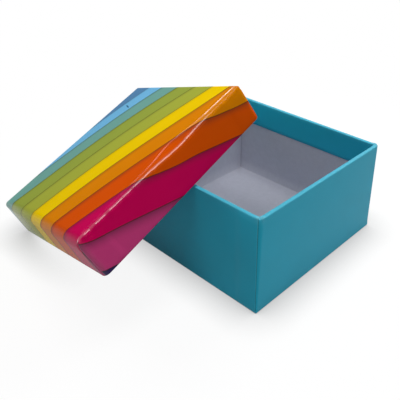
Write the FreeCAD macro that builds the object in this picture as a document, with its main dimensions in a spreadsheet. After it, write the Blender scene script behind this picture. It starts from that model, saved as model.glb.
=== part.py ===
import FreeCAD, Part
import math
import os

import Sketcher
from FreeCAD import Placement, Rotation, Vector

# A square set-up box with a lift-off lid.  Tray and lid are made alike: greyboard is scored, folded
# up into an open box and wrapped in one sheet of paper, which covers the outside, folds over the
# rim and is glued down inside as a turned-in band.  At each upright corner the paper of the two X
# walls runs round onto the Y walls as an ear, and the paper of the Y walls lies over it, cut short
# of the corner.  The lid's top has bowed out a little, board and paper together.  The lid lies
# askew over one corner of the tray, as it was put down.
#
# Millimetres.  The origin is the middle of the tray's underside, X and Y run along its walls and
# +Z is up.  Each box is drawn standing open side up, and the lid is then turned over.

DIMENSIONS = (
    ("board", 1.8, "greyboard of tray and lid"),
    ("paper", 0.2, "wrapping paper with its glue"),
    ("band", 15.0, "depth of the paper turned in over the rim"),
    ("rim_fold", 0.5, "outside radius of the paper over the rim"),
    ("ear", 12.0, "from a corner to the end of the ear under the upper paper"),
    ("ear_ramp", 1.0, "run over which the upper paper comes down off the ear"),
    ("seam_gap", 1.0, "from a corner to the cut edge of the upper paper"),
    ("slit", 0.25, "width of the gap between two walls of board inside a corner"),
    ("slit_depth", 0.7, "how far that gap is open"),
    ("tray_side", 100.0, "outside of the tray along a wall"),
    ("tray_height", 52.5, "outside height of the tray"),
    ("tray_corner", 1.4, "outside radius of the tray's upright corners"),
    ("tray_crease", 0.6, "outside radius from the tray's walls to its underside"),
    ("lid_side", 105.2, "outside of the lid along a wall"),
    ("lid_height", 21.0, "outside height of the lid"),
    ("lid_corner", 1.5, "outside radius of the lid's upright corners"),
    ("lid_crease", 2.0, "outside radius from the lid's walls to its top"),
    ("lid_crown", 1.7, "how far the middle of the lid's top has bowed out"),
    ("lid_yaw", -6.9, "degrees the lid is turned about Z"),
    ("lid_pitch", -17.4, "degrees it then leans about its own Y"),
    ("lid_roll", 24.1, "degrees it then leans about its own X"),
)


def make_sheet(doc):
    sheet = doc.addObject("Spreadsheet::Sheet", "Dims")
    for row, (alias, value, note) in enumerate(DIMENSIONS, start=1):
        sheet.set(f"A{row}", note)
        sheet.set(f"B{row}", str(value))
        sheet.setAlias(f"B{row}", alias)
    doc.recompute()
    return sheet


def origin_item(body, role):
    return next(item for item in body.Origin.OriginFeatures if item.Role == role)


def new_sketch(body, name, height):
    """A sketch square to the body's Z axis at a height given as an expression."""
    sketch = body.newObject("Sketcher::SketchObject", name)
    sketch.AttachmentSupport = [(origin_item(body, "XY_Plane"), "")]
    sketch.MapMode = "FlatFace"
    sketch.setExpression("AttachmentOffset.Base.z", height)
    return sketch


def draw_square(sketch, side):
    """A square centred on the axis, its side held by an expression."""
    corners = [Vector(x, y, 0) for x, y in ((-1, -1), (1, -1), (1, 1), (-1, 1))]
    for start, end in zip(corners, corners[1:] + corners[:1]):
        sketch.addGeometry(Part.LineSegment(start, end), False)
    for line in range(4):
        sketch.addConstraint(Sketcher.Constraint("Coincident", line, 2, (line + 1) % 4, 1))
        lies = "Horizontal" if line % 2 == 0 else "Vertical"
        sketch.addConstraint(Sketcher.Constraint(lies, line))
    sketch.addConstraint(Sketcher.Constraint("Symmetric", 0, 1, 2, 1, -1, 1))
    sketch.addConstraint(Sketcher.Constraint("Equal", 0, 1))
    across = sketch.addConstraint(Sketcher.Constraint("DistanceX", 0, 1, 0, 2, 2))
    sketch.renameConstraint(across, "side")
    sketch.setExpression("Constraints.side", side)


def draw_outline(sketch, corners, guess):
    """A closed outline through corners given as pairs of expressions; guess gives rough places."""
    first = sketch.GeometryCount
    count = len(corners)
    places = [Vector(x, y, 0) for x, y in guess]
    for start, end in zip(places, places[1:] + places[:1]):
        sketch.addGeometry(Part.LineSegment(start, end), False)
    for index, (x_place, y_place) in enumerate(corners):
        line = first + index
        following = first + (index + 1) % count
        sketch.addConstraint(Sketcher.Constraint("Coincident", line, 2, following, 1))
        for kind, place in (("DistanceX", x_place), ("DistanceY", y_place)):
            value = places[index].x if kind == "DistanceX" else places[index].y
            held = sketch.addConstraint(Sketcher.Constraint(kind, -1, 1, line, 1, value))
            name = f"{kind[-1].lower()}_{line}"
            sketch.renameConstraint(held, name)
            sketch.setExpression(f"Constraints.{name}", place)


def extrude(body, kind, name, sketch, length, upwards=True):
    """A Pad or Pocket of the sketch; a Pocket runs down unless it is reversed."""
    feature = body.newObject(f"PartDesign::{kind}", name)
    feature.Profile = sketch
    feature.Reversed = upwards == (kind == "Pocket")
    feature.setExpression("Length", length)
    body.Document.recompute()
    return feature


def upright_edges(shape):
    """Names of the straight edges along Z."""
    return [
        f"Edge{index}"
        for index, edge in enumerate(shape.Edges, start=1)
        if max(edge.BoundBox.XLength, edge.BoundBox.YLength) < 1e-6
    ]


def level_edges(shape, height):
    """Names of the edges that lie at one height."""
    return [
        f"Edge{index}"
        for index, edge in enumerate(shape.Edges, start=1)
        if max(abs(edge.BoundBox.ZMin - height), abs(edge.BoundBox.ZMax - height)) < 1e-6
    ]


def fillet(body, name, edges, radius):
    rounded = body.Tip
    feature = body.newObject("PartDesign::Fillet", name)
    feature.Base = (rounded, edges)
    feature.setExpression("Radius", radius)
    body.Document.recompute()


def make_open_box(doc, name, kind, inset, opening, floor):
    """A rounded block of the tray or lid, set in by inset, with a square opening down to floor."""
    body = doc.addObject("PartDesign::Body", name)
    outline = new_sketch(body, "Outline", inset)
    draw_square(outline, f"Dims.{kind}_side - 2 * {inset}")
    extrude(body, "Pad", "Block", outline, f"Dims.{kind}_height - 2 * {inset}")
    fillet(body, "Corners", upright_edges(body.Shape), f"Dims.{kind}_corner - {inset}")
    underside = body.Shape.BoundBox.ZMin
    fillet(body, "Crease", level_edges(body.Shape, underside), f"Dims.{kind}_crease - {inset}")
    mouth = new_sketch(body, "Mouth", floor)
    draw_square(mouth, opening)
    extrude(body, "Pocket", "Hollow", mouth, f"Dims.{kind}_height - {inset} - ({floor})")
    rim = body.Shape.BoundBox.ZMax
    fillet(body, "Rim", level_edges(body.Shape, rim), f"Dims.rim_fold - {inset}")
    return body


def part_corners(body, kind):
    """Opens the gap, inside each upright corner, where one wall of board meets the next."""
    inner = f"(Dims.{kind}_side / 2 - Dims.paper - Dims.board)"
    floor = "Dims.paper + Dims.board"
    sketch = new_sketch(body, "Slit", floor)
    near, far = f"{inner} - Dims.slit", f"{inner} + Dims.slit_depth"
    corners = ((near, near), (inner, near), (inner, far), (near, far))
    draw_outline(sketch, corners, ((40, 40), (41, 40), (41, 42), (40, 42)))
    height = f"Dims.{kind}_height - Dims.band - ({floor})"
    pocket = extrude(body, "Pocket", "CornerSlit", sketch, height)
    pattern = body.newObject("PartDesign::PolarPattern", "CornerSlits")
    pattern.Originals = [pocket]
    pattern.Axis = (origin_item(body, "Z_Axis"), [""])
    pattern.Angle = 360
    pattern.Occurrences = 4
    body.Tip = pattern
    body.Document.recompute()


def lay_paper_over_ears(body, kind):
    """Raises the upper paper of the two Y walls where it covers the ears, one paper thick."""
    half = f"Dims.{kind}_side / 2"
    sketch = new_sketch(body, "OverEars", f"Dims.{kind}_crease")
    for side in (1, -1):
        ends = (
            (f"{side} * ({half} - Dims.seam_gap)", f"-({half})"),
            (f"{side} * ({half} - Dims.seam_gap)", f"-({half} + Dims.paper)"),
            (f"{side} * ({half} - Dims.ear)", f"-({half} + Dims.paper)"),
            (f"{side} * ({half} - Dims.ear - Dims.ear_ramp)", f"-({half})"),
        )
        guess = ((side * 49, -50), (side * 49, -51), (side * 40, -51), (side * 38, -50))
        draw_outline(sketch, ends, guess)
    height = f"Dims.{kind}_height - Dims.{kind}_crease - Dims.rim_fold"
    pad = extrude(body, "Pad", "Overlap", sketch, height)
    mirror = body.newObject("PartDesign::Mirrored", "Overlaps")
    mirror.Originals = [pad]
    mirror.MirrorPlane = (origin_item(body, "XZ_Plane"), [""])
    body.Tip = mirror
    body.Document.recompute()


def make_crown(doc, name, level):
    """A pillow below a level of the lid: straight edges along the folds, deepest in the middle."""
    sheet = doc.Dims
    half = sheet.lid_side / 2 - sheet.lid_crease
    places = (-half, 0, half)
    bowed = Part.BezierSurface()
    bowed.increase(2, 2)
    for row, x in enumerate(places, start=1):
        for column, y in enumerate(places, start=1):
            bowed.setPole(row, column, Vector(x, y, level))
    # the surface goes a quarter of the way to its middle pole
    bowed.setPole(2, 2, Vector(0, 0, level - 4 * sheet.lid_crown))
    flat = Part.makePlane(2 * half, 2 * half, Vector(-half, -half, level))
    shell = Part.makeShell([bowed.toShape(), flat])
    shell.sewShape()
    pillow = doc.addObject("Part::Feature", name)
    pillow.Shape = Part.makeSolid(shell)
    return pillow


def combine(doc, kind, name, base, tool):
    """A Part::Fuse or Part::Cut of two objects."""
    result = doc.addObject(f"Part::{kind}", name)
    result.Base = base
    result.Tool = tool
    doc.recompute()
    return result


def bow_top(doc, board, filling, form):
    """Bows the lid's top out: the board's two faces, the paper's glued face and its outer face."""
    sheet = doc.Dims
    glue_line = make_crown(doc, "crown_glue_line", sheet.paper)
    board_inside = make_crown(doc, "crown_board_inside", sheet.paper + sheet.board)
    outside = make_crown(doc, "crown_outside", 0)
    bowed_board = combine(doc, "Fuse", "lid_board_outside", board, glue_line)
    board = combine(doc, "Cut", "lid_board", bowed_board, board_inside)
    filling = combine(doc, "Fuse", "lid_filling_bowed", filling, glue_line)
    form = combine(doc, "Fuse", "lid_form_bowed", form, outside)
    return board, filling, form


def make_wrapped_box(doc, kind):
    """The board and the paper of the tray or the lid, in that box's own frame."""
    inner_side = f"Dims.{kind}_side - 2 * Dims.paper - 2 * Dims.board"
    band_end = f"Dims.{kind}_height - Dims.band"
    floor = "Dims.paper + Dims.board"
    board_name = "tray_board" if kind == "tray" else "lid_board_flat"
    board = make_open_box(doc, board_name, kind, "Dims.paper", inner_side, floor)
    part_corners(board, kind)
    filling = make_open_box(doc, f"{kind}_filling", kind, "Dims.paper", inner_side, band_end)
    opening_side = f"{inner_side} - 2 * Dims.paper"
    form = make_open_box(doc, f"{kind}_form", kind, "0", opening_side, band_end)
    lay_paper_over_ears(form, kind)
    if kind == "lid":
        board, filling, form = bow_top(doc, board, filling, form)
    wrap = combine(doc, "Cut", f"{kind}_wrap", form, filling)
    return board, wrap


def crossing(direction, wall):
    """Unit normal between a rim fold of the lid and the tray's rim fold that it crosses."""
    normal = wall.cross(direction)
    normal.normalize()
    return normal if normal.z > 0 else -normal


def lid_placement(sheet):
    """The lid at rest: one corner of its rim on the floor and two of its walls across the tray's rim.

    In the lid's upright frame, with the middle of its rim as origin, the walls at +X and +Y cross
    the tray's walls at -Y and -X.  Fold touches fold there, and each pair fixes one coordinate.
    """
    lean = Rotation(sheet.lid_yaw, sheet.lid_pitch, sheet.lid_roll)
    across, along, up = (lean.multVec(Vector(*axis)) for axis in ((1, 0, 0), (0, 1, 0), (0, 0, 1)))
    fold = sheet.rim_fold
    corner_arm = sheet.lid_side / 2 - sheet.lid_corner
    low_corner = -(across + along) * corner_arm + up * fold
    drop = (sheet.lid_corner - fold) * math.hypot(across.z, along.z) + fold
    rest_z = drop - low_corner.z

    fold_arm = sheet.lid_side / 2 - 2 * sheet.paper - sheet.board + fold
    tray_arm = -sheet.tray_side / 2 + fold
    rise = rest_z - (sheet.tray_height - fold)
    normal = crossing(along, Vector(1, 0, 0))
    lid_fold = across * fold_arm + up * fold
    rest_y = tray_arm - lid_fold.y + (2 * fold - (rise + lid_fold.z) * normal.z) / normal.y
    normal = crossing(across, Vector(0, 1, 0))
    lid_fold = along * fold_arm + up * fold
    rest_x = tray_arm - lid_fold.x + (2 * fold - (rise + lid_fold.z) * normal.z) / normal.x

    turned_over = Rotation(Vector(1, -1, 0), 180)
    rim_middle = Vector(rest_x, rest_y, rest_z)
    return Placement(rim_middle + up * sheet.lid_height, lean * turned_over)


def check(doc, pieces):
    for item in doc.Objects:
        if {"Invalid", "Error"} & set(item.State):
            raise RuntimeError(f"{item.Label}: {item.State}")
    for piece in pieces:
        shape = piece.Shape
        if shape.isNull() or not shape.isValid() or len(shape.Solids) != 1:
            raise RuntimeError(f"{piece.Label} isn't one valid solid")


def main():
    doc = FreeCAD.newDocument("SetUpBox")
    sheet = make_sheet(doc)
    tray_board, tray_wrap = make_wrapped_box(doc, "tray")
    lid_board, lid_wrap = make_wrapped_box(doc, "lid")
    for piece in (lid_board, lid_wrap):
        piece.Placement = lid_placement(sheet)
    doc.recompute()
    pieces = (tray_board, tray_wrap, lid_board, lid_wrap)
    check(doc, pieces)
    os.makedirs("parts", exist_ok=True)
    for piece in pieces:
        piece.Shape.exportStep(f"parts/{piece.Label}.step")
        print(piece.Label, "volume", round(piece.Shape.Volume, 1), "mm3")


main()
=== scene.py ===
import math

import bmesh
import bpy
from mathutils import Euler, Matrix, Vector


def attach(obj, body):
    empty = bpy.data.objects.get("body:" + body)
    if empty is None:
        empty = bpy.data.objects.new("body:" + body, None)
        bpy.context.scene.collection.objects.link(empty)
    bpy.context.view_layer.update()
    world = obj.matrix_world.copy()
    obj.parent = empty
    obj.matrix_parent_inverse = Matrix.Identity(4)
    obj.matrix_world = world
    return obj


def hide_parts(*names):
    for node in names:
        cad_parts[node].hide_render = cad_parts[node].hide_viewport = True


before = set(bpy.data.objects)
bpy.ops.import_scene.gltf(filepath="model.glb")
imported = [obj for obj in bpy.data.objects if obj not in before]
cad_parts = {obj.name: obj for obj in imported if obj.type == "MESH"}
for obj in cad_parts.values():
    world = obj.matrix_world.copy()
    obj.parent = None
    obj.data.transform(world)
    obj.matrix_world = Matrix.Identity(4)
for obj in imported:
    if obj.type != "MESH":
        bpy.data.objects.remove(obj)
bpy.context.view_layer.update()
scene = bpy.context.scene
mm = 0.001
print("frame loaded:", sorted(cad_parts))

# Tray and lid are drawn alike, in mm and degrees, open side up, with z = 0 on the outside of the
# closed panel. "pulled" names a corner by the signs of its x, y and z and says how far it has moved.
tray = {
    "corner": 2.2,        # radius of the upright corners at the rim
    "foot": 1.0,          # and just above the panel
    "crease": 0.5,        # radius of the fold round the closed panel
    "wall": 2.2,          # board with paper on both sides
    "paper": 0.2,
    "rimFold": 0.5,
    "band": 15.0,         # depth of the paper turned in over the rim
    "ear": 12.0,          # how far the ear reaches under the upper paper
    "seamAngle": 24,      # where the upper paper is cut, round the corner
    "spacing": 2.0,       # between the lines of the mesh along a wall
    "rise": 3.2,          # and up a wall
    "pulled": (((1, 1, 1), (-0.3, -3.0, 0)),),
    # on the rim the folded paper stands up beside each corner and dips in the corner itself
    "bump": {"height": 0.35, "place": 2.2, "spread": 1.1},
    "dip": {"depth": 0.35, "spread": 0.5},
    # paler near the rim's top, most beside each corner: a painted highlight along the rim and on its
    # bumps, with some rubbing wear; it starts at the first height "below" the top and is full at the
    # second
    "rimSheenAndRub": {"least": 0.45, "more": 0.55, "place": 2.0, "spread": 0.8, "below": (0.7, 0.2)},
}
lid = {
    "corner": 3.0, "foot": 2.0, "crease": 2.0,
    "wall": 2.2, "paper": 0.2, "rimFold": 0.5, "band": 15.0, "ear": 12.0, "seamAngle": 50,
    "spacing": 1.1, "rise": 1.5,
    "crown": 1.7,         # how far the middle of the top has bowed out
    "yaw": -6.9, "pitch": -17.4, "roll": 24.1,           # how it leans on the tray
    "pulled": (((-1, -1, -1), (1.0, -1.2, 0.6)), ((-1, 1, -1), (-2.6, -2.0, 0.7)),
               ((1, 1, -1), (-0.4, -0.8, 0.6)), ((-1, -1, 1), (-0.9, 0, 0)),
               ((1, -1, 1), (-0.3, -2.6, -1.0))),
    "panelDepth": 2.3,    # all that lies less deep than this belongs to the top
    # the fold on the low side, at +X, is soft but for the last "end" mm at +Y, and its wall is
    # drawn in near the top, from a share of the half side on
    "low": {"radius": 4.5, "end": 12, "drawnIn": 0.8, "drawnFrom": 0.45},
    # the fold towards the tray, at -Y, is sharp, and its crest is pressed flat "flat" degrees to
    # either side of "turn" degrees from the top
    "long": {"radius": 1.3, "flat": 15, "turn": 31.6},
    # a second bend above that fold, "least" to "least" + "wide" from it; the slope beyond it
    # fades down the wall and over "ends" mm at either end
    "shoulder": {"least": 1.3, "wide": 3.1, "middle": 9.0, "spread": 11.0,
                 "slope": 0.3, "blend": 0.4, "fades": (3, 12), "ends": 6},
    "ripples": ((7.8, 1.0, 0.07), (4.8, 3.1, 0.05)),     # period, phase and height along that fold
    "rippleFades": (0.5, 6),
    # how much the film shines: x over which the shine changes from fold to bend, then for each
    # place its strength, spread and reach
    "gloss": {
        "towardsTray": (-22, -34),
        "fold": {"most": 1.8, "spread": 6, "loss": 0.85},
        "bend": {"least": 0.25, "more": 0.7, "spread": 0.35, "from": (22, 4), "deepest": 1},
        "wall": {"least": 0.22, "more": 1.6, "from": (10, 50), "deepest": 4},
    },
}

# Where the lines of both meshes lie, in mm and degrees.
lines = {
    "besideCorner": (0.6, 1.2, 1.8, 2.5, 3.2, 4.0, 5.0, 6.2, 7.4),
    "roundCorner": (0, 12, 24, 35, 45, 56, 68, 80),
    "besideCut": 4,       # other lines round a corner stay this far from the cut
    "cutEdge": 1.5,       # between the lip and the foot of the upper paper's cut edge
    "cutStarts": 0.2,     # the cut shows above this share of the panel fold's height
    "abovePanel": (0.6, 1.3, 2.1, 3.0, 4.0),
    "panelFold": 7, "rimFold": 4, "band": 8, "boardTop": 6, "slit": 5,   # how many steps each has
    "leastRadius": 0.3,
    "footEnds": 4,        # height at which an upright corner has its foot's radius
}
# The step where the upper paper lies over an ear eases in above the panel and out below the rim.
earStep = {"easesIn": 1.5, "ends": 0.3, "easesOut": 0.6}
# The board's walls stand apart in each corner, from just above the band's end down.
slitShape = {"above": 1.0, "opens": 1.5, "degrees": (30, 60), "depth": 0.5, "floorBend": 0.3}
tiny = 1e-6               # mm, too little to matter between two sizes
sameVertex = 1e-7         # metres, within which vertices are merged
emptyFace = 1e-8          # metres, below which an edge or a face is dropped


def spanIn(node, turn):
    # least and greatest x, y and z of a node, in mm, in a frame with the given turn
    points = [turn.transposed() @ vertex.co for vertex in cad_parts[node].data.vertices]
    low = Vector(min(point[axis] for point in points) for axis in range(3)) / mm
    high = Vector(max(point[axis] for point in points) for axis in range(3)) / mm
    return low, high


low, high = spanIn("tray_wrap", Matrix.Identity(3))
tray["side"] = high.x - low.x
tray["height"] = high.z - low.z
tray["place"] = Matrix.Translation(((low.x + high.x) / 2, (low.y + high.y) / 2, low.z))

lean = Euler([math.radians(lid[name]) for name in ("roll", "pitch", "yaw")], "XYZ").to_matrix()
low, high = spanIn("lid_wrap", lean)
lid["side"] = high.y - low.y
lid["height"] = high.z - low.z - lid["crown"]
topMiddle = lean @ Vector(((low.x + high.x) / 2, (low.y + high.y) / 2, low.z + lid["height"]))
turnedOver = Matrix(((0, -1, 0), (-1, 0, 0), (0, 0, -1)))
lid["place"] = Matrix.Translation(topMiddle) @ (lean @ turnedOver).to_4x4()
for name, form in (("tray", tray), ("lid", lid)):
    form["half"] = form["side"] / 2
    print(name, "side and height:", round(form["side"], 2), round(form["height"], 2))

# the way each wall faces, going round
normals = (Vector((0, -1)), Vector((1, 0)), Vector((0, 1)), Vector((-1, 0)))


def smooth(value, low, high):
    share = min(max((value - low) / (high - low), 0), 1)
    return share * share * (3 - 2 * share)


def hill(value, middle, spread):
    return math.exp(-((value - middle) / spread) ** 2)


def steps(start, end, count):
    return [start + (end - start) * step / count for step in range(count + 1)]


def wallStops(form):
    # places along a wall from -1 to 1, closer together near the corners and at the ear's end
    reach = form["half"] - form["corner"]
    earEnd = form["ear"] - form["corner"]
    ends = [1 - place / reach for place in (*lines["besideCorner"], earEnd, earEnd + 1)]
    inner = ends[-1]
    count = round(2 * inner * reach / form["spacing"])
    middle = [inner * (2 * step / count - 1) for step in range(1, count)]
    return [-1] + [-place for place in ends] + middle + ends[::-1] + [1]


def makeColumns(form):
    # lines up the walls: at a place on the flat or at an angle round a corner; "cover" says that
    # the upper paper lies over an ear there, "mark" the foot (1) and the lip (-1) of its cut edge
    covered = 1 - (form["ear"] - form["corner"] + tiny) / (form["half"] - form["corner"])
    angle, width = form["seamAngle"], lines["cutEdge"]
    turns = [(angle, 1, -1), (angle + width, 0, 1)]
    turns += [(degrees, int(degrees < angle), 0) for degrees in lines["roundCorner"]
              if abs(degrees - angle - width / 2) > lines["besideCut"]]
    turns.sort()
    backwards = [(0, 0, 0)] + [(90 - degrees, cover, mark) for degrees, cover, mark in turns[:0:-1]]
    columns = []
    for wall in range(4):
        upper = wall % 2 == 0
        for place in wallStops(form)[:-1]:
            columns.append({"wall": wall, "flap": wall, "place": place, "degrees": 0, "mark": 0,
                            "cover": int(upper and abs(place) > covered)})
        flap, seen = wall, 0
        for degrees, cover, mark in turns if upper else backwards:
            seen += abs(mark)
            if seen == 2:
                flap = (wall + 1) % 4
            columns.append({"wall": wall, "flap": flap, "place": None, "degrees": degrees,
                            "mark": mark, "cover": cover})
    return columns


def makeRing(inset, z, run, square=False):
    # a level line round the box: inset from the outside, run along the paper from the panel's edge
    return {"inset": inset, "z": z, "run": run, "square": square}


def outerRings(form, depth):
    # at a depth below the outside: from the panel's edge up the walls and over the rim
    crease, fold, wall = form["crease"], form["rimFold"], form["wall"]
    rim = form["height"] - fold
    rings = []
    for angle in steps(0, math.pi / 2, lines["panelFold"]):
        inset = crease - (crease - depth) * math.sin(angle)
        z = crease - (crease - depth) * math.cos(angle)
        rings.append(makeRing(inset, z, crease * angle))
    bent = crease * math.pi / 2
    close = [crease + rise for rise in lines["abovePanel"]]
    for z in close + steps(close[-1], rim, round((rim - close[-1]) / form["rise"]))[1:]:
        rings.append(makeRing(depth, z, bent + z - crease))
    run = bent + rim - crease
    for angle in steps(0, math.pi / 2, lines["rimFold"])[1:]:
        inset = fold - (fold - depth) * math.cos(angle)
        rings.append(makeRing(inset, rim + (fold - depth) * math.sin(angle), run + fold * angle))
    run += fold * math.pi / 2 + wall - 2 * fold
    rings.append(makeRing(wall - fold, form["height"] - depth, run))
    for angle in steps(0, math.pi / 2, lines["rimFold"])[1:]:
        inset = wall - fold + (fold - depth) * math.sin(angle)
        rings.append(makeRing(inset, rim + (fold - depth) * math.cos(angle), run + fold * angle))
    return rings


def insideRings(rings, end, count):
    # from the rim's inner fold down the inside to end
    last = rings[-1]
    down = steps(last["z"], end, count)[1:]
    return rings + [makeRing(last["inset"], z, last["run"] + last["z"] - z) for z in down]


def cornerRadius(form, ring):
    inset, z, crease = ring["inset"], ring["z"], form["crease"]
    if ring["square"]:
        return 0
    if z <= crease and inset < crease + tiny:
        return max(crease - inset, 0)
    widened = (form["foot"] - crease) * smooth(z, crease, lines["footEnds"])
    widened += (form["corner"] - form["foot"]) * z / form["height"]
    return max(crease + widened - inset, lines["leastRadius"])


def ringPoint(form, column, ring):
    normal, along = normals[column["wall"]], normals[(column["wall"] + 1) % 4]
    radius = cornerRadius(form, ring)
    reach = form["half"] - ring["inset"]
    abovePanel = smooth(ring["z"], form["crease"], form["crease"] + earStep["easesIn"])
    belowRim = min(max((form["height"] - earStep["ends"] - ring["z"]) / earStep["easesOut"], 0), 1)
    outside = abovePanel * (ring["inset"] < form["rimFold"])
    lift = column["cover"] * form["paper"] * outside * belowRim
    if column["place"] is not None:
        flat = normal * (reach + lift) + along * column["place"] * (reach - radius)
    else:
        turn = math.radians(column["degrees"])
        out = normal * math.cos(turn) + along * math.sin(turn)
        flat = (normal + along) * (reach - radius) + out * (radius + lift)
    return Vector((flat.x, flat.y, ring["z"]))


def sheetPoint(form, column, ring, flap):
    # where a point of the wrap lay on the flat sheet
    radius = cornerRadius(form, ring)
    reach = form["half"] - ring["inset"] - radius
    normal, along = normals[flap], normals[(flap + 1) % 4]
    if column["place"] is not None:
        across = column["place"] * reach if flap == column["wall"] else -reach
    elif flap == column["wall"]:
        across = reach + radius * math.radians(column["degrees"])
    else:
        across = -reach - radius * math.radians(90 - column["degrees"])
    return normal * (form["half"] - form["crease"] + ring["run"]) + along * across


def pull(form, point, base):
    # a pulled corner takes the whole box along, less and less towards the other corners
    where = (base.x / form["half"], base.y / form["half"], 2 * base.z / form["height"] - 1)
    for corner, by in form["pulled"]:
        share = math.prod((1 + place * end) / 2 for place, end in zip(where, corner))
        point += Vector(by) * share


def reroll(edge, depth, old, new, flat=0, turn=45, deepest=1):
    # takes a fold from its old radius to a new one and keeps each layer's depth below the outside;
    # its crest can be pressed flat: so many degrees to either side of a turn from the panel;
    # layers below the deepest stay as they are
    place, layer = Vector((edge, depth)), min(edge, depth)
    if edge < old and depth < old:
        away = place - Vector((old, old))
        layer = old - away.length
        place = Vector((old, old)) + away * ((old - layer) / max(-away.x, -away.y, tiny))
    if layer > deepest:
        return Vector((edge, depth))
    if max(place) >= new:
        return place
    away = (place - Vector((new, new))).normalized() * (new - layer)
    crest = Vector((-math.sin(math.radians(turn)), -math.cos(math.radians(turn))))
    beyond = away.dot(crest) - (new - layer) * math.cos(math.radians(flat))
    return Vector((new, new)) + away - crest * max(beyond, 0)


def shoulderEdge(x):
    # how far the shoulder's bend lies from the wall of the long fold
    form = lid["shoulder"]
    widened = hill(-x, form["middle"], form["spread"])
    return lid["long"]["radius"] + form["least"] + form["wide"] * widened


def bendLid(point, base):
    half, crease = lid["half"], lid["crease"]
    low, long, shoulder = lid["low"], lid["long"], lid["shoulder"]
    bowed = math.prod(1 - min(abs(place) / (half - crease), 1) ** 2 for place in (base.x, base.y))
    if base.z < lid["panelDepth"]:
        point.z -= lid["crown"] * bowed

    # the low side
    softness = smooth(half - base.y, 0, low["end"]) * (low["radius"] - crease)
    edge, depth = reroll(half - base.x, base.z, crease, crease + softness)
    point += Vector((half - base.x - edge, 0, depth - base.z))
    nearPanel = 1 - min(base.z / lid["height"], 1)
    point.x -= low["drawnIn"] * nearPanel * smooth(base.x, half * low["drawnFrom"], half)

    # the long fold, its shoulder and its ripples
    edge, depth = reroll(half + base.y, base.z, crease, long["radius"], long["flat"], long["turn"])
    point += Vector((0, edge - half - base.y, depth - base.z))
    beyond = min((shoulderEdge(base.x) - edge) / shoulder["blend"], 60)      # 60 keeps exp in range
    drop = shoulder["slope"] * shoulder["blend"] * math.log1p(math.exp(beyond))
    drop *= 1 - smooth(depth, *shoulder["fades"])
    point.z += drop * smooth(half - abs(base.x), 0, shoulder["ends"])
    ripple = sum(height * math.sin(2 * math.pi * base.x / period + phase)
                 for period, phase, height in lid["ripples"])
    ripple *= 1 - smooth(edge + depth, *lid["rippleFades"])
    point -= Vector((0, ripple, ripple))
    pull(lid, point, base)
    return point


def bendTray(point, base):
    if base.z > tray["height"] - tray["rimFold"]:
        x, y = tray["half"] - abs(base.x), tray["half"] - abs(base.y)
        bump, dip = tray["bump"], tray["dip"]
        point.z += bump["height"] * hill(max(x, y), bump["place"], bump["spread"])
        if max(x, y) < tray["wall"]:
            point.z -= dip["depth"] * hill(x, y, dip["spread"])
    pull(tray, point, base)
    return point


def trayRimSheenAndRub(base):
    # share of pale teal: a painted highlight on the rim's top and its corner bumps, with some rubbing wear
    rimSheenAndRub = tray["rimSheenAndRub"]
    fromCorner = max(tray["half"] - abs(base.x), tray["half"] - abs(base.y))
    paleSheenAndRub = rimSheenAndRub["least"] + rimSheenAndRub["more"] * hill(fromCorner, rimSheenAndRub["place"], rimSheenAndRub["spread"])
    return paleSheenAndRub * smooth(base.z, *(tray["height"] - below for below in rimSheenAndRub["below"]))


def lidGloss(base):
    # the film shines along the crest of the long fold, along the shoulder's bend, most towards
    # the tray, and on the wall of the low side
    fold, bend, wall = (lid["gloss"][name] for name in ("fold", "bend", "wall"))
    towardsTray = smooth(base.x, *lid["gloss"]["towardsTray"])
    edge = lid["half"] + base.y
    turn = math.degrees(math.atan2(lid["crease"] - edge, lid["crease"] - base.z))
    onFold = min(fold["most"] * hill(turn, lid["long"]["turn"], fold["spread"]), 1)
    onFold *= 1 - fold["loss"] * towardsTray
    onBend = (bend["least"] + bend["more"] * towardsTray) * smooth(base.x, *bend["from"])
    onBend *= hill(edge, shoulderEdge(base.x), bend["spread"]) * (base.z < bend["deepest"])
    onWall = wall["least"] * (1 + wall["more"] * smooth(base.y, *wall["from"]))
    onWall *= smooth(lid["half"] - base.x, wall["deepest"], 0)
    return max(onFold, onBend, onWall)


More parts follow.
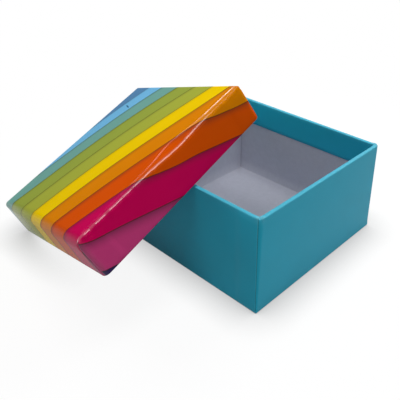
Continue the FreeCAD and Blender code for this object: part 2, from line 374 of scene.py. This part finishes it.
def shell(name, form, rings, closeAt, bend, slit=(), finish=lambda base: 0):
    # a closed skin: the panel, the rings, and a second panel of the size and height in closeAt;
    # the middle of each corner is pushed out on the rings numbered in slit, and finish gives
    # the material a share from 0 to 1 for each place
    work = bmesh.new()
    uv = work.loops.layers.uv.new("sheet")
    seamLayer = work.verts.layers.float.new("seam")
    finishLayer = work.verts.layers.float.new("finish")

    def addVertex(base, seam=0):
        vertex = work.verts.new(bend(base.copy(), base) * mm)
        vertex[seamLayer] = seam
        vertex[finishLayer] = finish(base)
        return vertex

    def addPanel(size, z, order):
        # a grid whose lines meet the columns
        stops = wallStops(form)
        grid = [[(addVertex(Vector((x * size, y * size, z))), Vector((x, y)) * size) for x in stops]
                for y in stops]
        for low, high in zip(grid, grid[1:]):
            for corners in zip(low, low[1:], high[1:], high):
                corners = corners[::order]
                face = work.faces.new([vertex for vertex, _ in corners])
                for loop, (_, flat) in zip(face.loops, corners):
                    loop[uv].uv = flat * mm

    columns = makeColumns(form)
    first, last = slitShape["degrees"]
    rows = []
    for index, ring in enumerate(rings):
        outside = ring["inset"] < form["wall"] / 2 and ring["z"] > form["crease"] * lines["cutStarts"]
        row = []
        for column in columns:
            base = ringPoint(form, column, ring)
            if index in slit and first < column["degrees"] < last:
                base += Vector([math.copysign(slitShape["depth"], place) for place in base.xy] + [0])
            row.append(addVertex(base, column["mark"] * outside))
        rows.append(row)
    for index in range(len(rings) - 1):
        for number, column in enumerate(columns):
            after = (number + 1) % len(columns)
            cells = [(index, number), (index, after), (index + 1, after), (index + 1, number)]
            face = work.faces.new([rows[level][spot] for level, spot in cells])
            face.material_index = int(column["mark"] != 0 and columns[after]["mark"] != 0)
            for loop, (level, spot) in zip(face.loops, cells):
                loop[uv].uv = sheetPoint(form, columns[spot], rings[level], column["flap"]) * mm
    addPanel(form["half"] - form["crease"], rings[0]["z"], -1)
    addPanel(*closeAt, 1)
    bmesh.ops.remove_doubles(work, verts=work.verts, dist=sameVertex)
    bmesh.ops.dissolve_degenerate(work, edges=work.edges, dist=emptyFace)
    bmesh.ops.recalc_face_normals(work, faces=work.faces)
    mesh = bpy.data.meshes.new(name)
    work.to_mesh(mesh)
    work.free()
    mesh.transform(Matrix.Translation(form["place"].translation * mm) @ form["place"].to_3x3().to_4x4())
    mesh.shade_smooth()
    piece = bpy.data.objects.new(name, mesh)
    scene.collection.objects.link(piece)
    return piece


def makeWrap(name, form, bend, **extras):
    # the outer face to the band's end, then back along the glued face
    bandEnd = form["height"] - form["band"]
    outer = insideRings(outerRings(form, 0), bandEnd, lines["band"])
    glued = insideRings(outerRings(form, form["paper"]), bandEnd, lines["band"])
    closeAt = (form["half"] - form["crease"], form["paper"])
    return shell(name, form, outer + glued[::-1], closeAt, bend, **extras)


def makeBoard(name, form, bend):
    # inside the paper, slit from just above the band's end down to the floor
    floor, bent = form["wall"] - form["paper"], slitShape["floorBend"]
    bandEnd = form["height"] - form["band"] + slitShape["above"]
    rings = insideRings(outerRings(form, form["paper"]), bandEnd, lines["boardTop"])
    apart = len(rings)
    inset, top, run = (rings[-1][key] for key in ("inset", "z", "run"))
    slitHeights = steps(top - slitShape["opens"], floor + bent, lines["slit"])
    rings += [makeRing(inset, z, run + top - z) for z in slitHeights]
    rings.append(makeRing(inset + bent, floor, run + top - floor))
    rings.append(makeRing(inset + 2 * bent, floor, run + top - floor + bent, square=True))
    closeAt = (form["half"] - inset - 2 * bent, floor)
    return shell(name, form, rings, closeAt, bend, range(apart, len(rings) - 2))


trayPaper = makeWrap("tray_paper", tray, bendTray, finish=trayRimSheenAndRub)
trayBoard = makeBoard("tray_greyboard", tray, bendTray)
lidPaper = makeWrap("lid_paper", lid, bendLid, finish=lidGloss)
lidBoard = makeBoard("lid_greyboard", lid, bendLid)
for piece in (trayPaper, trayBoard, lidPaper, lidBoard):
    print("folded", piece.name, len(piece.data.polygons), "faces")


def paint(red, green, blue):
    # screen values 0-255 as a linear colour
    def linear(value):
        value /= 255
        return value / 12.92 if value <= 0.04045 else ((value + 0.055) / 1.055) ** 2.4
    return (linear(red), linear(green), linear(blue), 1)


def grey(value):
    return (value, value, value, 1)


def newMaterial(name, values):
    # the values are set on the shader's own sockets
    material = bpy.data.materials.new(name)
    material.use_nodes = True
    surface = material.node_tree.nodes["Principled BSDF"]
    for label, value in values.items():
        surface.inputs[label].default_value = value
    return material, material.node_tree, surface


def feed(tree, socket, value):
    if isinstance(value, bpy.types.NodeSocket):
        tree.links.new(value, socket)
    elif value is not None:
        socket.default_value = value


def mathNode(tree, operation, first, second=None, third=None, clamp=False):
    node = tree.nodes.new("ShaderNodeMath")
    node.operation = operation
    node.use_clamp = clamp
    for socket, value in zip(node.inputs, (first, second, third)):
        feed(tree, socket, value)
    return node.outputs[0]


def mixColour(tree, share, first, second):
    node = tree.nodes.new("ShaderNodeMix")
    node.data_type = "RGBA"
    for socket, value in zip((node.inputs[0], node.inputs[6], node.inputs[7]), (share, first, second)):
        feed(tree, socket, value)
    return node.outputs[2]


def scaleColour(tree, colour, share):
    node = tree.nodes.new("ShaderNodeVectorMath")
    node.operation = "SCALE"
    feed(tree, node.inputs[0], colour if isinstance(colour, bpy.types.NodeSocket) else colour[:3])
    feed(tree, node.inputs["Scale"], share)
    return node.outputs[0]


def vectorLength(tree, vector):
    node = tree.nodes.new("ShaderNodeVectorMath")
    node.operation = "LENGTH"
    tree.links.new(vector, node.inputs[0])
    return node.outputs["Value"]


def objectPlace(tree):
    return tree.nodes.new("ShaderNodeTexCoord").outputs["Object"]


def sheetPlace(tree):
    # metres on the flat sheet, from its middle
    node = tree.nodes.new("ShaderNodeUVMap")
    node.uv_map = "sheet"
    return node.outputs["UV"]


def newGroup(name, inputs, outputs):
    group = bpy.data.node_groups.new(name, "ShaderNodeTree")
    for label, kind, value in inputs:
        socket = group.interface.new_socket(label, in_out="INPUT", socket_type="NodeSocket" + kind)
        if value is not None:
            socket.default_value = value
    for label, kind in outputs:
        group.interface.new_socket(label, in_out="OUTPUT", socket_type="NodeSocket" + kind)
    return group, group.nodes.new("NodeGroupInput").outputs, group.nodes.new("NodeGroupOutput").inputs


def placeGroup(tree, group, **values):
    node = tree.nodes.new("ShaderNodeGroup")
    node.node_tree = group
    for label, value in values.items():
        feed(tree, node.inputs[label], value)
    return node.outputs


def noise(tree, vector, scale, detail=3, roughness=0.5):
    node = tree.nodes.new("ShaderNodeTexNoise")
    node.inputs["Scale"].default_value = scale
    node.inputs["Detail"].default_value = detail
    node.inputs["Roughness"].default_value = roughness
    tree.links.new(vector, node.inputs["Vector"])
    return node.outputs["Fac"]


def attribute(tree, name):
    node = tree.nodes.new("ShaderNodeAttribute")
    node.attribute_name = name
    return node.outputs["Fac"]


def bump(tree, height, strength, distance):
    node = tree.nodes.new("ShaderNodeBump")
    node.inputs["Strength"].default_value = strength
    node.inputs["Distance"].default_value = distance
    tree.links.new(height, node.inputs["Height"])
    return node.outputs["Normal"]


inkEdge = {               # where one printed colour ends on the next
    "shadeCurve": 1.6, "shadeColour": (0.02, 0.015, 0.02, 1),
    "halfLine": 0.25,     # half the line's width, mm
    "lineColour": (0.03, 0.02, 0.01, 1),
}


def makePrintedStep():
    # one printed colour lying over the next: a thin edge line and a soft shade past it
    group, given, out = newGroup(
        "printedStep",
        [("Along", "Float", 0.0), ("Edge", "Float", 0.0), ("Before", "Color", None),
         ("After", "Color", None), ("Shade", "Float", 0.5), ("Width", "Float", 4.0),
         ("Line", "Float", 0.75)],
        [("Color", "Color")],
    )
    past = mathNode(group, "SUBTRACT", given["Along"], given["Edge"])
    isAfter = mathNode(group, "GREATER_THAN", past, 0.0)
    share = mathNode(group, "DIVIDE", past, given["Width"])
    nearness = mathNode(group, "SUBTRACT", 1.0, share, clamp=True)
    curved = mathNode(group, "POWER", nearness, inkEdge["shadeCurve"])
    shade = mathNode(group, "MULTIPLY", curved, given["Shade"])
    shaded = mixColour(group, shade, given["After"], inkEdge["shadeColour"])
    colour = mixColour(group, isAfter, given["Before"], shaded)
    onLine = mathNode(group, "LESS_THAN", mathNode(group, "ABSOLUTE", past), inkEdge["halfLine"])
    line = mathNode(group, "MULTIPLY", onLine, given["Line"])
    group.links.new(mixColour(group, line, colour, inkEdge["lineColour"]), out["Color"])
    return group


coating = {               # scale, detail and roughness of each noise, and their shares
    "broad": (60.0, 2, 0.5), "fine": (1400.0, 3, 0.6), "shares": (0.7, 0.3),
}


def makePaperGrain():
    # faint mottling of a coated paper and its fine surface ripple
    group, given, out = newGroup(
        "coatedPaperGrain",
        [("Vector", "Vector", None), ("Mottle", "Float", 0.06), ("Ripple", "Float", 0.1)],
        [("Tone", "Float"), ("Height", "Float")],
    )
    broad = noise(group, given["Vector"], *coating["broad"])
    fine = noise(group, given["Vector"], *coating["fine"])
    mixed = mathNode(group, "ADD", *(mathNode(group, "MULTIPLY", grain, share)
                                     for grain, share in zip((broad, fine), coating["shares"])))
    centred = mathNode(group, "SUBTRACT", mixed, 0.5)
    group.links.new(mathNode(group, "MULTIPLY_ADD", centred, given["Mottle"], 1.0), out["Tone"])
    group.links.new(mathNode(group, "MULTIPLY", fine, given["Ripple"]), out["Height"])
    return group


def makeCutSeamShadeAndHighlight():
    # where a sheet is cut short of a corner: a painted shadow, dark at the foot of the cut edge, and a
    # painted highlight, pale on its lip
    group, given, out = newGroup(
        "cutSeamShadeAndHighlight",
        [("Color", "Color", None), ("Seam", "Float", 0.0), ("GapShadow", "Color", (0.01, 0.01, 0.01, 1)),
         ("LipHighlight", "Color", (0.5, 0.5, 0.5, 1)), ("Darkness", "Float", 0.8), ("Paleness", "Float", 0.3)],
        [("Color", "Color")],
    )
    foot = mathNode(group, "MULTIPLY", given["Seam"], given["Darkness"], clamp=True)
    onLip = mathNode(group, "MULTIPLY", given["Seam"], -1.0)
    lip = mathNode(group, "MULTIPLY", onLip, given["Paleness"], clamp=True)
    paled = mixColour(group, lip, given["Color"], given["LipHighlight"])
    group.links.new(mixColour(group, foot, paled, given["GapShadow"]), out["Color"])
    return group


printedStep = makePrintedStep()
paperGrain = makePaperGrain()
cutSeamShadeAndHighlight = makeCutSeamShadeAndHighlight()


def finishPaper(tree, surface, look, colour, grain):
    # the painted shadow and highlight at the cut edges beside each corner, and the fine ripple of the
    # paper
    final = placeGroup(tree, cutSeamShadeAndHighlight, Color=colour, Seam=attribute(tree, "seam"), **look["seam"])
    tree.links.new(final["Color"], surface.inputs["Base Color"])
    tree.links.new(bump(tree, grain["Height"], *look["bump"]), surface.inputs["Normal"])


# For each finish, "surface" holds the shader's own values and "bump" a strength and a height in metres;
# for each paper, "seam" is the look of its cut beside a corner, a painted shadow at the foot and a painted
# highlight on the lip, and "cutEdge" has two dark tones of the edge itself, partly painted shade of the
# gap and partly glue.
stripes = {
    "tilt": 0.3915,       # mm that an edge moves across for each mm down the sheet
    "first": paint(87, 135, 178),
    # each edge's place in mm, the colour past it, and the strength and width of the shade there
    "edges": (
        (-56.0, paint(114, 184, 226), 0.35, 4.0),
        (-39.95, paint(112, 166, 156), 0.40, 4.0),
        (-22.17, paint(151, 165, 65), 0.40, 4.0),
        (-5.01, paint(167, 174, 62), 0.35, 4.0),
        (11.64, paint(243, 205, 0), 0.35, 3.5),
        (26.56, paint(224, 132, 0), 0.40, 4.0),
        (41.46, paint(219, 82, 0), 0.50, 4.5),
        (57.28, paint(203, 0, 84), 0.50, 4.5),
        (74.1, paint(196, 60, 121), 0.60, 6.0),
        (90.0, paint(58, 35, 98), 0.3, 3.0),
    ),
    # a small dent in the print, mm on the sheet
    "nick": {"place": (-32.75, 34.15), "degrees": -71.6, "size": (7.3, 0.9),
             "colour": paint(20, 60, 90), "strength": 0.8},
    "mottle": 0.10,
    "flatGloss": 0.02,    # coat away from the folds
    "surface": {"Roughness": 0.45, "Specular IOR Level": 0.0, "Coat Roughness": 0.06, "Coat IOR": 2.0},
    "bump": (0.05, 0.0001),
    # painted shadow at the foot of the cut and painted highlight on its lip
    "seam": {"GapShadow": paint(22, 4, 12), "LipHighlight": paint(205, 160, 190), "Darkness": 1.0, "Paleness": 0.5},
    # dark tones of the cut edge: partly painted shade of the gap beside it, partly glue
    "cutEdge": (paint(30, 5, 15), paint(60, 20, 40)),
}
teal = {
    # the pale colour stands for a painted highlight on the rim's top, with some rubbing wear
    "colour": paint(40, 178, 208), "paleSheenAndRub": paint(150, 208, 218), "mostSheenAndRub": 0.4,
    "mottle": 0.12,
    "surface": {"Roughness": 0.35, "Specular IOR Level": 0.08},
    "bump": (0.08, 0.0001),
    # painted shadow at the foot of the cut and painted highlight on its lip
    "seam": {"GapShadow": paint(0, 60, 75), "LipHighlight": paint(110, 190, 205), "Darkness": 0.4, "Paleness": 0.6},
    # dark tones of the cut edge: partly painted shade of the gap beside it, partly glue
    "cutEdge": (paint(0, 75, 92), paint(10, 95, 112)),
}
board = {
    # scale, detail and roughness of each noise
    "pulp": (350.0, 5, 0.65), "fibres": (2600.0, 3, 0.6), "pulpHeight": 0.5,
    "dark": paint(185, 186, 198), "pale": paint(203, 204, 216),
    "fleck": {"colour": paint(125, 123, 135), "above": 0.68, "strength": 0.25},
    "surface": {"Roughness": 0.9, "Specular IOR Level": 0.2},
    "bump": (0.25, 0.0002),
}
bareEdge = {"scale": 900.0, "surface": {"Roughness": 0.8, "Specular IOR Level": 0.1}}


def nickMask(tree, place):
    # 1 inside a long narrow oval
    nick = stripes["nick"]
    mapping = tree.nodes.new("ShaderNodeMapping")
    mapping.vector_type = "TEXTURE"
    tree.links.new(place, mapping.inputs["Vector"])
    mapping.inputs["Location"].default_value = [offset * mm for offset in nick["place"]] + [0]
    mapping.inputs["Rotation"].default_value = (0, 0, math.radians(nick["degrees"]))
    mapping.inputs["Scale"].default_value = [size / 2 * mm for size in nick["size"]] + [1]
    within = mathNode(tree, "LESS_THAN", vectorLength(tree, mapping.outputs[0]), 1.0)
    return mathNode(tree, "MULTIPLY", within, nick["strength"])


def makeStripedPaper():
    material, tree, surface = newMaterial("striped_laminated_paper", stripes["surface"])
    place = sheetPlace(tree)
    parts = tree.nodes.new("ShaderNodeSeparateXYZ")
    tree.links.new(place, parts.inputs[0])
    # the sheet's y runs against the print's x, and its x against the print's y
    across = mathNode(tree, "MULTIPLY", parts.outputs[1], -1 / mm)
    down = mathNode(tree, "MULTIPLY", parts.outputs[0], 1 / mm)
    along = mathNode(tree, "MULTIPLY_ADD", down, stripes["tilt"], across)
    colour = stripes["first"]
    for edge, after, shade, width in stripes["edges"]:
        colour = placeGroup(tree, printedStep, Along=along, Edge=edge, Before=colour, After=after,
                            Shade=shade, Width=width)["Color"]
    grain = placeGroup(tree, paperGrain, Vector=place, Mottle=stripes["mottle"], Ripple=1.0)
    colour = scaleColour(tree, colour, grain["Tone"])
    colour = mixColour(tree, nickMask(tree, place), colour, stripes["nick"]["colour"])
    finishPaper(tree, surface, stripes, colour, grain)
    flat = stripes["flatGloss"]
    gloss = mathNode(tree, "MULTIPLY_ADD", attribute(tree, "finish"), 1 - flat, flat)
    tree.links.new(gloss, surface.inputs["Coat Weight"])
    return material


def makeTealPaper():
    material, tree, surface = newMaterial("teal_coated_paper", teal["surface"])
    grain = placeGroup(tree, paperGrain, Vector=sheetPlace(tree), Mottle=teal["mottle"], Ripple=1.0)
    # paler near the rim's top: painted highlight with some rubbing wear
    paleSheenAndRub = mathNode(tree, "MULTIPLY", attribute(tree, "finish"), teal["mostSheenAndRub"])
    colour = mixColour(tree, paleSheenAndRub, teal["colour"], teal["paleSheenAndRub"])
    finishPaper(tree, surface, teal, scaleColour(tree, colour, grain["Tone"]), grain)
    return material


# the cut edge's dark tones are partly painted shade of the gap beside it, partly glue
def makeShadedCutEdge(name, dark, pale):
    material, tree, surface = newMaterial(name, bareEdge["surface"])
    tone = mixColour(tree, noise(tree, objectPlace(tree), bareEdge["scale"]), dark, pale)
    tree.links.new(tone, surface.inputs["Base Color"])
    return material


def makeGreyboard():
    material, tree, surface = newMaterial("greyboard", board["surface"])
    place, fleck = objectPlace(tree), board["fleck"]
    pulp = noise(tree, place, *board["pulp"])
    fibres = noise(tree, place, *board["fibres"])
    base = mixColour(tree, pulp, board["dark"], board["pale"])
    isFleck = mathNode(tree, "GREATER_THAN", fibres, fleck["above"])
    flecks = mathNode(tree, "MULTIPLY", isFleck, fleck["strength"])
    tree.links.new(mixColour(tree, flecks, base, fleck["colour"]), surface.inputs["Base Color"])
    height = mathNode(tree, "ADD", mathNode(tree, "MULTIPLY", pulp, board["pulpHeight"]), fibres)
    tree.links.new(bump(tree, height, *board["bump"]), surface.inputs["Normal"])
    return material


greyboard = makeGreyboard()
for piece, skins in (
    (trayPaper, (makeTealPaper(), makeShadedCutEdge("teal_cut_edge_painted_shade", *teal["cutEdge"]))),
    (lidPaper, (makeStripedPaper(), makeShadedCutEdge("striped_cut_edge_painted_shade", *stripes["cutEdge"]))),
    (trayBoard, (greyboard,)),
    (lidBoard, (greyboard,)),
):
    for skin in skins:
        piece.data.materials.append(skin)
print("materials made")

for piece, node, slotName in (
    (trayPaper, "tray_wrap", "teal_paper"),
    (trayBoard, "tray_board", "greyboard"),
    (lidPaper, "lid_wrap", "striped_paper"),
    (lidBoard, "lid_board", "greyboard"),
):
    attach(piece, "root")
    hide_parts(node)

studio = {                # metres and watts
    "ambient": 0.12,
    "floorSize": 6.0,
    "floorDrop": 0.0001,              # keeps the floor from sharing a plane with the part
    "floorBounce": 0.6,               # how pale the floor is for the light it throws back
    "floorGlow": 0.99,                # how bright it is beside the part when seen directly
    "castShare": 0.12,                # how much of the cast shadow shows there
    "lampLight": 0.8,                 # what the lamps alone give a white floor
    "shadowReach": (0.13, 0.24),      # the floor turns plain white between these distances
    # reach and curve of the painted shadow: ambient occlusion dims the floor's glow near the part
    "paintedShadowReach": 0.02, "paintedShadowCurve": 0.7,
    "lampAim": (0, 0, 0.03),
    # size, power and place of each lamp
    "lamps": {
        "overhead": ((0.24, 0.4), 1.6, (0.0, -0.05, 0.65)),
        "far_side": ((0.27, 0.27), 1.65, (0.0, 0.45, 0.45)),
        "right_fill": ((0.27, 0.27), 0.68, (0.45, 0.0, 0.45)),
        "front_fill": ((0.27, 0.27), 0.1, (0.0, -0.45, 0.45)),
        "left_front_fill": ((0.27, 0.27), 0.5, (-0.4, -0.45, 0.2)),
        "back_strip": ((0.5, 0.11), 0.9, (-0.62, 0.02, 0.42)),
    },
}


def seenDirectly(tree):
    # 1 for rays that see the studio itself: camera, reflections and what is seen through glass
    path = tree.nodes.new("ShaderNodeLightPath")
    seen = mathNode(tree, "MAXIMUM", path.outputs["Is Camera Ray"], path.outputs["Is Glossy Ray"])
    return mathNode(tree, "MAXIMUM", seen, path.outputs["Is Transmission Ray"])


def makeFloor():
    # seen directly it glows white, less so close beside the part, where ambient occlusion also paints a
    # soft shadow into the glow, and shows some of the cast shadow
    bpy.ops.mesh.primitive_plane_add(size=studio["floorSize"])
    floor = bpy.context.object
    floor.name = "studio_floor"
    material, tree, surface = newMaterial("studio_floor", {
        "Roughness": 1.0, "Specular IOR Level": 0.0, "Emission Color": grey(1),
    })
    seen = seenDirectly(tree)
    fade = tree.nodes.new("ShaderNodeMapRange")
    fade.interpolation_type = "SMOOTHSTEP"
    fade.inputs["From Min"].default_value, fade.inputs["From Max"].default_value = studio["shadowReach"]
    tree.links.new(vectorLength(tree, objectPlace(tree)), fade.inputs["Value"])
    far = mathNode(tree, "MULTIPLY", fade.outputs[0], seen)
    cast = studio["castShare"]
    near = mixColour(tree, seen, grey(studio["floorBounce"]), grey(cast))
    tree.links.new(mixColour(tree, far, near, grey(0)), surface.inputs["Base Color"])

    nearGlow = studio["floorGlow"] - studio["lampLight"] * cast
    glow = mathNode(tree, "MULTIPLY_ADD", far, 1 - nearGlow, nearGlow)
    # a painted contact shadow: ambient occlusion dims the glow
    occlusionShadow = tree.nodes.new("ShaderNodeAmbientOcclusion")
    occlusionShadow.inputs["Distance"].default_value = studio["paintedShadowReach"]
    dimmed = mathNode(tree, "POWER", occlusionShadow.outputs["AO"], studio["paintedShadowCurve"])
    shaded = mathNode(tree, "MULTIPLY", mathNode(tree, "MULTIPLY", glow, seen), dimmed)
    tree.links.new(shaded, surface.inputs["Emission Strength"])
    floor.data.materials.append(material)
    floor.location.z = -studio["floorDrop"]


def makeWorld():
    world = bpy.data.worlds.new("studio")
    scene.world = world
    world.use_nodes = True
    tree = world.node_tree
    shade = tree.nodes["Background"]
    strength = mathNode(tree, "MULTIPLY_ADD", seenDirectly(tree), 1 - studio["ambient"], studio["ambient"])
    shade.inputs["Color"].default_value = grey(1)
    tree.links.new(strength, shade.inputs["Strength"])


def areaLight(name, size, power, place):
    lamp = bpy.data.lights.new(name, "AREA")
    lamp.shape = "RECTANGLE"
    lamp.size, lamp.size_y = size
    lamp.energy = power
    holder = bpy.data.objects.new(name, lamp)
    holder.location = place
    towards = Vector(studio["lampAim"]) - Vector(place)
    holder.rotation_euler = towards.to_track_quat("-Z", "Y").to_euler()
    scene.collection.objects.link(holder)


viewpoint = {
    "azimuth": 43.324, "elevation": 32.253, "roll": 0.299,                # degrees
    "distance": 0.27233, "aim": (-0.001731, -0.015753, 0.025),            # metres
    "clipStart": 0.01,
    "lens": 45.63, "sensor": 36, "shiftX": -0.06466, "shiftY": -0.0031,   # mm, and shares of the width
}


def makeCamera():
    lens = bpy.data.cameras.new("view")
    lens.sensor_width = viewpoint["sensor"]
    lens.lens = viewpoint["lens"]
    lens.shift_x, lens.shift_y = viewpoint["shiftX"], viewpoint["shiftY"]
    lens.clip_start = viewpoint["clipStart"]
    holder = bpy.data.objects.new("view", lens)
    scene.collection.objects.link(holder)
    turn = (Matrix.Rotation(math.radians(viewpoint["azimuth"]), 3, "Z")
            @ Matrix.Rotation(math.radians(90 - viewpoint["elevation"]), 3, "X")
            @ Matrix.Rotation(math.radians(viewpoint["roll"]), 3, "Z"))
    place = Vector(viewpoint["aim"]) + turn @ Vector((0, 0, viewpoint["distance"]))
    holder.matrix_world = Matrix.Translation(place) @ turn.to_4x4()
    scene.camera = holder


makeFloor()
makeWorld()
for name, lamp in studio["lamps"].items():
    areaLight(name, *lamp)
makeCamera()
scene.view_settings.view_transform = "Standard"
print("studio set")
